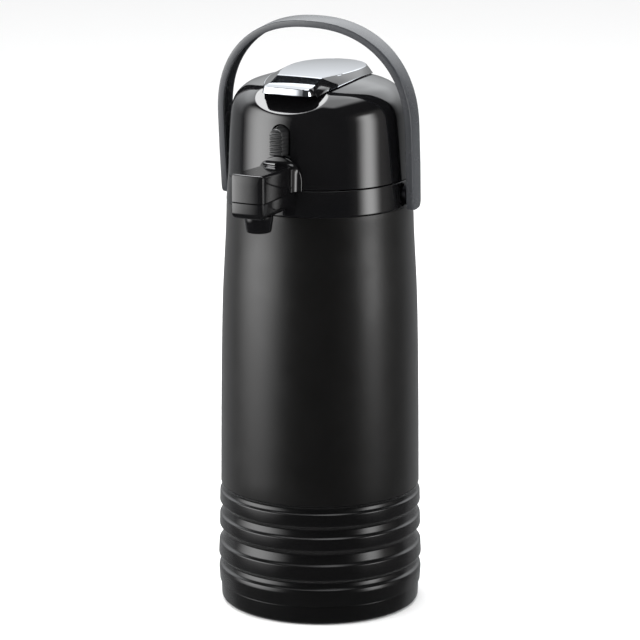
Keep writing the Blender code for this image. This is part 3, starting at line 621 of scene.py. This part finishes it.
def make_trough():
    """The spout's lower half and the nozzle under it."""
    low_z, high_z, reach = 320.0, SEAM_Z - GAP, 4.4
    rings = []
    for a in np.radians(np.linspace(0.0, 90.0, 9)):
        z = low_z + reach * (1 - math.cos(a))
        rings.append([(x, y, z) for x, y in spout_plan(reach * 0.55 * (1 - math.sin(a)) + 0.05)])
    rings.append([(x, y, high_z - 0.4) for x, y in spout_plan(0.02)])
    rings.append([(x, y, high_z) for x, y in spout_plan(0.3)])
    trough = lofted("spout_lower", rings)
    hollow = []
    for inset, z in ((3.2, low_z + 1.6), (2.0, 336.0)):
        hollow.append([(x, y, z) for x, y in spout_plan(inset, -50.0)])
    cut(trough, lofted("hollow", hollow))
    cut(trough, rod("collar_clear", (0, 0, 300), (0, 0, 345), 70.7, facets=ROUND))
    cut(trough, rod("drain", (0, NOZZLE_Y, 310), (0, NOZZLE_Y, 324), 5.0))
    finish_piece(trough, "pot", "gloss_black", "spout_trough")
    nozzle = [(10.9, low_z - GAP, 0.4), (10.6, 316.0, 0.8), (9.4, 308.2, 1.0), (8.9, 307.4, 0.7)]
    nozzle += [(6.3, 307.4, 0.5), (6.3, low_z - GAP)]
    piece = turned("nozzle_tip", nozzle, 72, (0.0, NOZZLE_Y))
    finish_piece(piece, "pot", "gloss_black", "pour_nozzle")


def head_radius(z):
    """Outside radius of the head's wall between the seam and the dome."""
    return WALL_FOOT_R + (WALL_TOP_R - WALL_FOOT_R) * (z - SEAM_Z - GAP) / (WALL_TOP_Z - SEAM_Z - GAP)


def cover_outline(half, top, corner_x, corner_z):
    """Upright sides, elliptical top corners and a flat top, from the right foot over to the left one."""
    base = SEAM_Z + GAP
    side = [(half, z) for z in np.linspace(base, top - corner_z, 9)]
    for a in np.radians(np.linspace(0.0, 90.0, 15)[1:]):
        side.append((half - corner_x * (1 - math.cos(a)), top - corner_z * (1 - math.sin(a))))
    side += [((half - corner_x) * share, top) for share in (0.66, 0.33)]
    return side + [(0.0, top)] + [(-x, z) for x, z in side[::-1]]


def on_wall(outline, ahead):
    """The outline laid `ahead` millimetres in front of the head's wall."""
    return [(x, -math.sqrt(head_radius(z) ** 2 - x * x) - ahead, z) for x, z in outline]


def flange_rings():
    """The rim of the flange on the head's wall, with its front edge eased."""
    rings = [on_wall(cover_outline(17.6, 356.9, 17.5, 19.0), ahead) for ahead in (-1.0, 2.0)]
    for inset, ahead in ((0.0, 2.3), (0.12, 2.6), (0.35, 2.85), (0.75, 3.0)):
        outline = cover_outline(FLANGE_HALF - inset, FLANGE_TOP_Z - inset, 17.8 - inset, 19.0 - inset)
        rings.append(on_wall(outline, ahead))
    return rings


def fillet_rings():
    """The concave sweep from the flange into the straight body."""
    rings = []
    for a in np.radians(np.linspace(4.0, 90.0, 14)):
        share = (1 - math.sin(a)) * 0.9
        corner = COVER_CORNER + 14.0 * share**1.5
        top = SPOUT_TOP_Z + FILLET_HIGH * share**1.6
        outline = cover_outline(SPOUT_HALF + FILLET_WIDE * share, top, corner, corner)
        rings.append(on_wall(outline, FLANGE_AHEAD + FILLET_LONG * (1 - math.cos(a))))
    return rings


def body_rings():
    """The straight body, whose top rises towards the nose."""
    rings = []
    for share in (0.12, 0.3, 0.5, 0.7, 0.9):
        outline = cover_outline(SPOUT_HALF, SPOUT_TOP_Z + NOSE_RISE * share, COVER_CORNER, COVER_CORNER)
        near = np.array(on_wall(outline, FLANGE_AHEAD + FILLET_LONG))
        far = np.array([(x, nose_y(x) + NOSE_ROUND, z) for x, z in outline])
        rings.append((near * (1 - share) + far * share).tolist())
    return rings


def nose_rings():
    """The nose's rounded rim, then its face drawn in towards the middle of its foot."""
    rings = []
    for a in np.radians(np.linspace(0.0, 90.0, 9)):
        inset = NOSE_ROUND * (1 - math.cos(a))
        corner = COVER_CORNER - inset * 0.6
        outline = cover_outline(SPOUT_HALF - inset, SPOUT_TOP_Z + NOSE_RISE - inset, corner, corner)
        rings.append([(x, nose_y(x) + NOSE_ROUND * (1 - math.sin(a)), z) for x, z in outline])
    for share in (0.75, 0.5, 0.25, 0.04):
        top = SEAM_Z + GAP + 18.0 * share
        outline = cover_outline((SPOUT_HALF - NOSE_ROUND) * share, top, 1.2 * share, 1.2 * share)
        rings.append([(x, nose_y(x), z) for x, z in outline])
    return rings


def make_cover():
    """The spout's upper half, which lifts with the head and is hollow underneath."""
    cover = lofted("spout_upper", flange_rings() + fillet_rings() + body_rings() + nose_rings())
    hollow = []
    for inset, z in ((2.2, 330.0), (3.0, SPOUT_TOP_Z - 2.6)):
        hollow.append([(x, y, z) for x, y in spout_plan(inset, -73.2)])
    cut(cover, lofted("hollow", hollow))
    cut(cover, head_clearance())
    finish_piece(cover, "head", "gloss_black", "spout_cover", sharp_deg=38)


def head_clearance():
    """The cone of the head's wall, a seam's gap larger, for cutting."""
    rings = []
    for z in (325.0, 365.0):
        r = head_radius(z) + GAP
        rings.append([(r * math.sin(a), -r * math.cos(a), z) for a in round_angles(ROUND)])
    return lofted("head_clear", rings)


# ---------------------------------------------------------------- pump head
DOME = smooth_through(HEAD_PROFILE, 14, start_slope=(1.0, 0.0))  # from the crown down


def dome_z(x, y):
    """Height of the head's outside over a point, before the finger flat."""
    return float(np.interp(math.hypot(x, y), DOME[:, 0], DOME[:, 1]))


def pressed_flat(points, depth):
    """Points beyond the finger flat, moved down by depth, come onto it with a small round at its rim."""
    tilt = math.radians(FLAT_TILT_DEG)
    normal = np.array((0.0, -math.sin(tilt), math.cos(tilt)))
    away = (points - np.array(FLAT_POINT)) @ normal + depth
    push = FLAT_RIM * np.logaddexp(0.0, away / FLAT_RIM)
    near = points[:, 1:2] < 0
    return points - np.where(near, push[:, None], 0.0) * normal


def resampled(curve, spacing):
    """Points along a curve, about `spacing(height)` apart."""
    lengths = np.concatenate([[0.0], np.cumsum(np.linalg.norm(np.diff(curve, axis=0), axis=1))])
    places = [0.0]
    while places[-1] < lengths[-1]:
        z = np.interp(places[-1], lengths, curve[:, 1])
        places.append(places[-1] + spacing(z))
    places[-1] = lengths[-1]
    return np.column_stack([np.interp(places, lengths, curve[:, k]) for k in (0, 1)])


def head_profiles():
    """(profile, depth under the surface) of the outside from the crown down and of the inside back up."""
    fine = 0.7
    outside = resampled(DOME, lambda z: fine if 383.0 < z < 407.0 else 2.5)
    outside = np.vstack([outside[:-1], [(68.78, SEAM_Z + GAP + 0.5), (68.3, SEAM_Z + GAP)]])
    inner = smooth_through(HEAD_PROFILE, 3, start_slope=(1.0, 0.0))
    tangent = np.gradient(inner, axis=0)
    tangent /= np.linalg.norm(tangent, axis=1)[:, None]
    inner = inner + np.column_stack((tangent[:, 1], -tangent[:, 0])) * HEAD_WALL
    inner[0, 0] = 0.0
    inner[-1, 1] = SEAM_Z + GAP
    return ((outside, 0.0), (inner[::-1], HEAD_WALL))


def head_wall():
    """The shell of the head, finer in front where the finger flat's rim runs."""
    front_deg = 36.0
    front = np.radians(np.arange(-front_deg, front_deg + 0.01, 0.6))
    rest = np.radians(np.linspace(front_deg, 360.0 - front_deg, 116)[1:-1])
    profiles = head_profiles()
    rings = []
    for a in np.concatenate([front, rest]):
        turn = (math.sin(a), -math.cos(a))
        shell = []
        for profile, depth in profiles:
            points = np.column_stack((profile[:, 0] * turn[0], profile[:, 0] * turn[1], profile[:, 1]))
            shell.append(pressed_flat(points, depth))
        rings.append(np.vstack(shell))
    return lofted("head_dome", rings, closed=True)


def latch_slot():
    """The arched slot in the head's front that the latch button shows through."""
    half, arch_z, slot_foot_z = 7.8, 372.6, 357.7
    rings = []
    for y in (-55.0, -80.0):
        arch = [(half * math.cos(a), arch_z + half * math.sin(a)) for a in np.linspace(0, math.pi, 25)]
        rings.append([(x, y, z) for x, z in [(half, slot_foot_z), *arch, (-half, slot_foot_z)]])
    return lofted("latch_slot", rings)


def make_head():
    head = head_wall()
    for side in (-1, 1):
        x0, x1 = sorted((side * 5.0, side * 8.4))
        lug = rod(f"lug_{side}", (x0, LEVER_Y, LEVER_Z), (x1, LEVER_Y, LEVER_Z), 2.3)
        foot_low, foot_high = (x0 + 0.01, LEVER_Y - 2.2, 401.0), (x1 - 0.01, LEVER_Y + 2.2, LEVER_Z)
        join(head, join(lug, block(f"lug_foot_{side}", foot_low, foot_high)))
    join(head, knuckle("head_knuckle", -13.8, 13.8, 332.6, 337.8, 65.8))
    cut(head, rod("stem_hole", (0, 0, 395), (0, 0, 415), 8.0, facets=64))
    cut(head, rod("lever_pin_hole", (-20, LEVER_Y, LEVER_Z), (20, LEVER_Y, LEVER_Z), LEVER_HOLE_R))
    cut(head, rod("head_pin_hole", (-30, HINGE_Y, HINGE_Z), (30, HINGE_Y, HINGE_Z), HINGE_HOLE_R))
    cut(head, latch_slot())
    finish_piece(head, "head", "gloss_black", "head_shell", sharp_deg=40)
    pin = rod("lever_shaft", (-11.8, LEVER_Y, LEVER_Z), (11.8, LEVER_Y, LEVER_Z), LEVER_PIN_R, edge=0.3)
    finish_piece(pin, "head", "steel", "lever_pin")


BUTTON_FOOT_Z, BUTTON_FACE_Y, BUTTON_BACK_Y = 358.2, -75.6, -62.0
BUTTON_FRONT_HALF, BUTTON_BACK_HALF, BUTTON_TOP_Z = 5.2, 7.2, 379.8


def thumb_groove(z):
    """How deep the front face lies in one of the six thumb grooves at a height."""
    depth = 0.0
    for number in range(6):
        middle = BUTTON_FOOT_Z + 3.1 + number * 2.7
        depth = max(depth, 0.9 * max(0.0, min(1.0, (0.95 - abs(z - middle)) / 0.45)))
    return depth


def button_section(z):
    """The button's outline at a height, which narrows to an arch at the top."""
    edge = max(0.0, 0.7 - (z - BUTTON_FOOT_Z))
    front_half, back_half, round_over = BUTTON_FRONT_HALF, BUTTON_BACK_HALF, 0.0
    lift = z - (BUTTON_TOP_Z - BUTTON_BACK_HALF)
    if lift > 0:
        back_half = math.sqrt(BUTTON_BACK_HALF**2 - lift**2)
        front_half = math.sqrt(BUTTON_FRONT_HALF**2 - max(z - 372.9, 0.0) ** 2) if z < 378.0 else 0.0
        round_over = max(0.0, z - 375.0) ** 2 * 0.16
    y0 = BUTTON_FACE_Y + thumb_groove(z) + edge * 0.8 + round_over
    front_half = max(front_half - edge * 0.6, 0.1)
    side = [(back_half, BUTTON_BACK_Y)]
    side += [(front_half * 0.25 + back_half * 0.75, y0 * 0.25 + BUTTON_BACK_Y * 0.75)]
    side += [(front_half * 0.9 + back_half * 0.1, y0 + 1.4), (front_half - 0.02, y0 + 0.6)]
    side += [(front_half - 0.25, y0 + 0.18), (max(front_half - 0.8, 0.05), y0)]
    return [(x, y, z) for x, y in side + [(-x, y) for x, y in side[::-1]]]


def make_latch():
    """Sections stacked upwards, so that the thumb grooves run across the front as rounded valleys."""
    foot = [BUTTON_FOOT_Z, BUTTON_FOOT_Z + 0.25, BUTTON_FOOT_Z + 0.7]
    grooved = np.arange(BUTTON_FOOT_Z + 1.0, 376.4, 0.15)
    arch = np.linspace(376.4, 379.75, 26)
    button = lofted("latch_thumb_button", [button_section(z) for z in np.concatenate([foot, grooved, arch])])
    join(button, block("bridge", (-13.0, -62.6, 350.0), (13.0, -60.4, 372.0)))
    for side in (-1, 1):
        x0, x1 = sorted((side * 8.6, side * 12.99))
        join(button, block(f"leg_{side}", (x0, -62.5, 324.2), (x1, -60.5, 352.0)))
        join(button, block(f"nose_{side}", (x0, -63.6, 324.3), (x1, -61.5, 327.5)))
    finish_piece(button, "latch", "matte_black", "latch_button", sharp_deg=40)


# ---------------------------------------------------------------- lever
LEVER_FOOT = (  # half outline where the lever's skirt ends, from the beak to the rear
    (0, -60.5), (12, -60.3), (17.6, -59.2), (19.6, -56.8), (25, -45), (27.6, -38.4), (30.2, -31), (33, -15),
    (33.2, 2), (31.8, 18), (27.8, 34), (20.5, 45.5), (10, 51.5), (0, 53),
)
LEVER_RIM = (  # half outline of the top plate, point for point with the foot
    (0, -59.6), (12, -59.4), (16.8, -58.5), (18.3, -56.3), (18.4, -46), (18.5, -40), (18.6, -35), (23.5, -20),
    (27, -2), (27.6, 14), (25.2, 28), (18.5, 39.5), (9.5, 46), (0, 48),
)
CREASE_Y, PLATE_TOP_Z, BEAK_FOOT_Z = -35.0, 411.7, 400.6
STEEP_REACH, RUN_OUT_REACH = 8.0, 10.0
LEVER_WALL = 1.6


def plate_z(x, y):
    """Nearly flat top plate. Ahead of the crease it drops, steeply at first, and runs out to the beak."""
    crown = PLATE_TOP_Z - 0.0006 * (max(y, CREASE_Y) - 6.0) ** 2
    ahead = max(CREASE_Y - y, 0.0)
    run_out = min(max(ahead - STEEP_REACH, 0.0), RUN_OUT_REACH)
    steep = min(ahead, STEEP_REACH) + run_out - run_out**2 / (2.0 * RUN_OUT_REACH)
    return crown - 0.0008 * x * x - 0.065 * ahead - 0.25 * steep


def foot_z(x, y):
    """Skirt edge: level under the beak, just off the dome, and raised behind the pivot."""
    behind = max(0.0, y - LEVER_Y) * (math.sin(math.radians(20.0)) + 0.08)
    on_dome = dome_z(x, y) + 0.8 + behind
    return max(BEAK_FOOT_Z, on_dome) if y < -52.0 else on_dome


def inward(x, y):
    """The scale that brings a point of the outline in by the lever's wall."""
    return 1.0 - LEVER_WALL / max(math.hypot(x, y), LEVER_WALL * 2)


def lever_section(foot, rim):
    """From the middle of the plate out to its rim, down the skirt, and back inside to the middle."""
    (fx, fy), (rx, ry) = foot, rim
    fx, rx = max(fx, 0.0), max(rx, 0.0)
    out = np.array((fx - rx, fy - ry))
    row = [(rx * s, ry, plate_z(rx * s, ry)) for s in np.linspace(0.0, 0.93, 10)]
    lip = plate_z(rx, ry)
    row += [(rx * 0.975, ry * 0.997, lip + 0.05), (rx, ry, lip - 0.25)]
    base = foot_z(fx, fy)
    for s in (0.06, 0.25, 0.5, 0.75, 0.94):
        bulge = math.sin(math.pi * s) * 0.35 if rx > 1 else 0.0
        row.append((rx + out[0] * s + bulge, ry + out[1] * s, lip - 0.25 + (base + 0.35 - lip) * s))
    row += [(fx, fy, base + 0.3), (fx * 0.995, fy * 0.997, base)]
    inner = inward(fx, fy)
    row += [(fx * inner, fy * inner, max(base, foot_z(fx * inner, fy * inner)))]
    inner = inward(rx, ry)
    for s in (1.0, 0.66, 0.33, 0.0):
        row.append((rx * inner * s, ry * inner, plate_z(rx * s, ry * inner) - LEVER_WALL))
    return row


def lever_shell():
    """Both halves of the lever, mirrored about its middle."""
    outlines = zip(smooth_through(LEVER_FOOT, 8), smooth_through(LEVER_RIM, 8))
    rows = [lever_section(foot, rim) for foot, rim in outlines]
    size = len(rows[0])
    points, faces = [], []
    for side in (1, -1):
        start = len(points)
        points += [(side * x, y, z) for row in rows for x, y, z in row]
        for i in range(len(rows) - 1):
            for j in range(size - 1):
                a = start + i * size + j
                faces.append((a, a + 1, a + size + 1, a + size))
    return mesh_object("lever_cover", points, faces)


def make_ears():
    """The two ears under the plate that hang on the lever's pin."""
    for side, number in ((-1, 1), (1, 3)):
        x0, x1 = sorted((side * 8.8, side * 11.3))
        ear = rod(f"lever_ear_{number}", (x0, LEVER_Y, LEVER_Z), (x1, LEVER_Y, LEVER_Z), 2.7)
        stem_low, stem_high = (x0 + 0.01, LEVER_Y - 2.3, LEVER_Z), (x1 - 0.01, LEVER_Y + 2.3, LEVER_Z + 3.2)
        join(ear, block(f"stem_{side}", stem_low, stem_high))
        cut(ear, rod(f"ear_hole_{side}", (-20, LEVER_Y, LEVER_Z), (20, LEVER_Y, LEVER_Z), LEVER_HOLE_R))
        finish_piece(ear, "lever", "chromed_plastic")


def make_lever():
    """The chromed shell. Its skirt is gloss black behind the beak."""
    lever = lever_shell()
    make_ears()
    finish_piece(lever, "lever", "chromed_plastic", "lever", sharp_deg=22)
    lever.data.materials.append(MATERIALS["gloss_black"])
    beak_y, middle = -56.5 * MM, 22.0 * MM
    for face in lever.data.polygons:
        sideways = abs(face.normal.z) < 0.9
        if sideways and face.center.y > beak_y and math.hypot(face.center.x, face.center.y) > middle:
            face.material_index = 1


# ---------------------------------------------------------------- handle
HANDLE_HALF_SPAN, LEG_TOP, ARCH_RISE, ARCH_POWER, ARCH_STEPS = 80.0, 50.0, 79.0, 2.25, 44
STRAP_HALF, GRIP_EXTRA, STRAP_THICK, STRAP_FLANGE = 8.0, 1.6, 5.3, 2.0


def handle_stations():
    """Half of the strap from a leg's end to the grip: side offset, height, outward x and z, half width."""
    stations = []
    leg = [(-10.6, 3.6), (-10.4, 4.8), (-9.8, 6.0), (-8.8, 6.9), (-7.7, 7.5), (-6.4, 7.85), (-5.0, 8.0)]
    leg += [(height, STRAP_HALF) for height in (8.0, 22.0, 36.0)]
    for height, half in leg:
        stations.append((HANDLE_HALF_SPAN - 0.6 * max(0.0, 20.0 - height) / 32.6, height, 1.0, 0.0, half))
    for i in range(ARCH_STEPS + 1):
        angle = math.pi / 2 * i / ARCH_STEPS
        x = HANDLE_HALF_SPAN * math.cos(angle) ** (2 / ARCH_POWER) if i < ARCH_STEPS else 0.0
        z = ARCH_RISE * math.sin(angle) ** (2 / ARCH_POWER)
        out_x = (x / HANDLE_HALF_SPAN) ** (ARCH_POWER - 1) / HANDLE_HALF_SPAN
        out_z = (z / ARCH_RISE) ** (ARCH_POWER - 1) / ARCH_RISE
        length = math.hypot(out_x, out_z)
        half = STRAP_HALF + GRIP_EXTRA * (i / ARCH_STEPS) ** 1.5
        stations.append((x, z + LEG_TOP, out_x / length, out_z / length, half))
    return stations


def handle_section(x, z, out_x, out_z, half):
    """The strap's section, a channel open towards the inside, with every edge eased."""
    thick, flange = STRAP_THICK, STRAP_FLANGE
    outline = [(-thick, -half, 0.5), (0, -half, 1.3), (0, half, 1.3), (-thick, half, 0.5)]
    outline += [(-thick, half - flange, 0.4), (-flange, half - flange, 0.9)]
    outline += [(-flange, -half + flange, 0.9), (-thick, -half + flange, 0.4)]
    return [(x + out_x * depth, across, z + out_z * depth) for depth, across in filleted(outline, steps=4)]


def make_handle():
    """The strap with its two lugs, leaning back at rest."""
    right = handle_stations()
    left = [(-x, z, -out_x, out_z, half) for x, z, out_x, out_z, half in right[:-1][::-1]]
    handle = lofted("bail_strap", [handle_section(*station) for station in right + left])
    for side in (-1, 1):
        join(handle, rod(f"lug_{side}", (side * 74.3, 0, 0), (side * 78.4, 0, 0), 6.6, facets=64))
        cut(handle, rod(f"bore_{side}", (side * 72, 0, 0), (side * 78.3, 0, 0), 4.17, facets=64))
    lean = Matrix.Rotation(math.radians(HANDLE_LEAN_DEG), 4, "X")
    handle.data.transform(Matrix.Translation((0.0, 0.0, HANDLE_Z * MM)) @ lean)
    finish_piece(handle, "handle", "handle_grey", "handle", sharp_deg=35)


def dress_inner_nodes():
    """The CAD nodes that stay in view keep their shapes and take the finish of their own slots."""
    slots = {
        "steel": ("swivel_pin", "pour_pipe", "siphon_tube", "head_screw_1", "head_screw_2", "head_screw_3",
                  "bellows_spring", "latch_spring"),
        "silicone": ("swivel_ring", "neck_gasket", "stopper_gasket", "air_seal"),
        "rubber": ("liner_seat", "nozzle_o_ring", "bellows"),
        "satin_black": ("bottom_cap",),
        "silvered_glass": ("liner_outer", "liner_inner"),
        "inner_plastic": ("stopper", "pump_base", "pusher"),
    }
    for slot, names in slots.items():
        for name in names:
            materials = NODES[name].data.materials
            materials.clear()
            materials.append(MATERIALS[slot])


make_camera()
make_world()
make_stage()
MATERIALS = black_finishes() | metal_finishes() | inner_finishes()
make_base()
make_sleeve()
make_casing()
make_collar()
make_studs()
make_trough()
make_cover()
make_head()
make_latch()
make_lever()
make_handle()
dress_inner_nodes()
